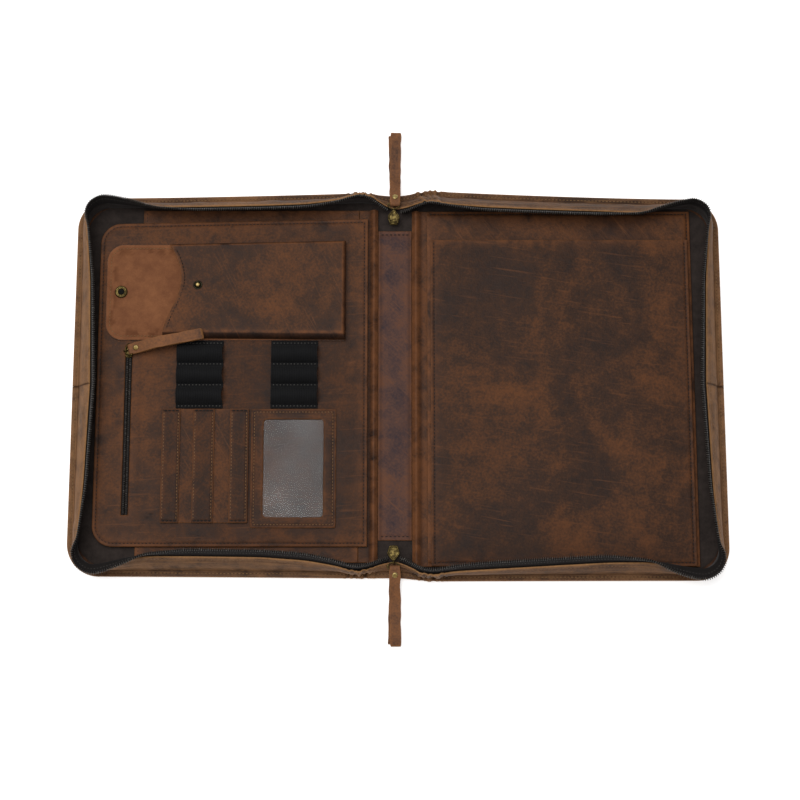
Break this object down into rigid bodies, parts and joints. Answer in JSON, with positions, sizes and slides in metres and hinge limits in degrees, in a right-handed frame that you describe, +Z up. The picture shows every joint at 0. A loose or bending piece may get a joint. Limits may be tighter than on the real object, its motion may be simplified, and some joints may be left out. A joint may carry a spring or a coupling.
{
  "type": "leather document case",
  "caption": "Zip-round leather document case, open and lying flat, with phone pocket, pen loops, card slots, window pocket and pad pocket.",
  "frame": {"origin": "underside of the cover at the middle of the spine fold, on the surface it lies on", "axes": "+X across the open case from the organiser half to the pad half, +Y along the spine towards the top edge, +Z up"},
  "size_m": [0.5685, 0.4551, 0.0345],
  "materials": {
    "leather": "oiled, mottled, satin",
    "band_leather": "oiled, rubbed lighter, satin",
    "suede": "napped flesh side",
    "lining_cloth": "woven, matte",
    "zip_tape": "woven tape, matte",
    "zip_teeth": "dark, semi-gloss",
    "elastic": "ribbed, matte",
    "brass": "antique",
    "clear_film": "clear, glossy"
  },
  "bodies": {
    "root": {"outer_cover": "leather", "lining": "lining_cloth", "gusset_left_top": "band_leather", "gusset_left_bottom": "band_leather", "gusset_right_top": "band_leather", "gusset_right_bottom": "band_leather", "wall_lining_left": "lining_cloth", "wall_lining_right": "lining_cloth", "zip_tape_left": "zip_tape", "zip_tape_right": "zip_tape", "zip_teeth_left": "zip_teeth", "zip_teeth_right": "zip_teeth", "hinge_strip_left": "leather", "hinge_strip_right": "leather", "spine_patch": "leather", "back_pocket": "leather", "organiser_panel": "leather", "pocket_zip_left": "zip_tape", "pocket_zip_right": "zip_tape", "phone_flap": "suede", "phone_pocket": "leather", "snap_socket": "brass", "snap_stud": "brass", "pen_loops_left": "elastic", "pen_loops_right": "elastic", "card_panel": "leather", "card_strip_1": "leather", "card_strip_2": "leather", "card_strip_3": "leather", "id_pocket": "leather", "id_window_film": "clear_film", "document_pocket": "leather", "pad_pocket": "leather", "zip_slider_top": "brass", "pull_ring_top": "brass", "pull_strap_top": "leather", "pull_rivet_top": "brass", "zip_slider_bottom": "brass", "pull_ring_bottom": "brass", "pull_strap_bottom": "leather", "pull_rivet_bottom": "brass", "pocket_zip_slider": "brass", "pocket_pull_ring": "brass", "pocket_pull_strap": "leather", "pocket_pull_rivet": "brass"}
  },
  "joints": []
}
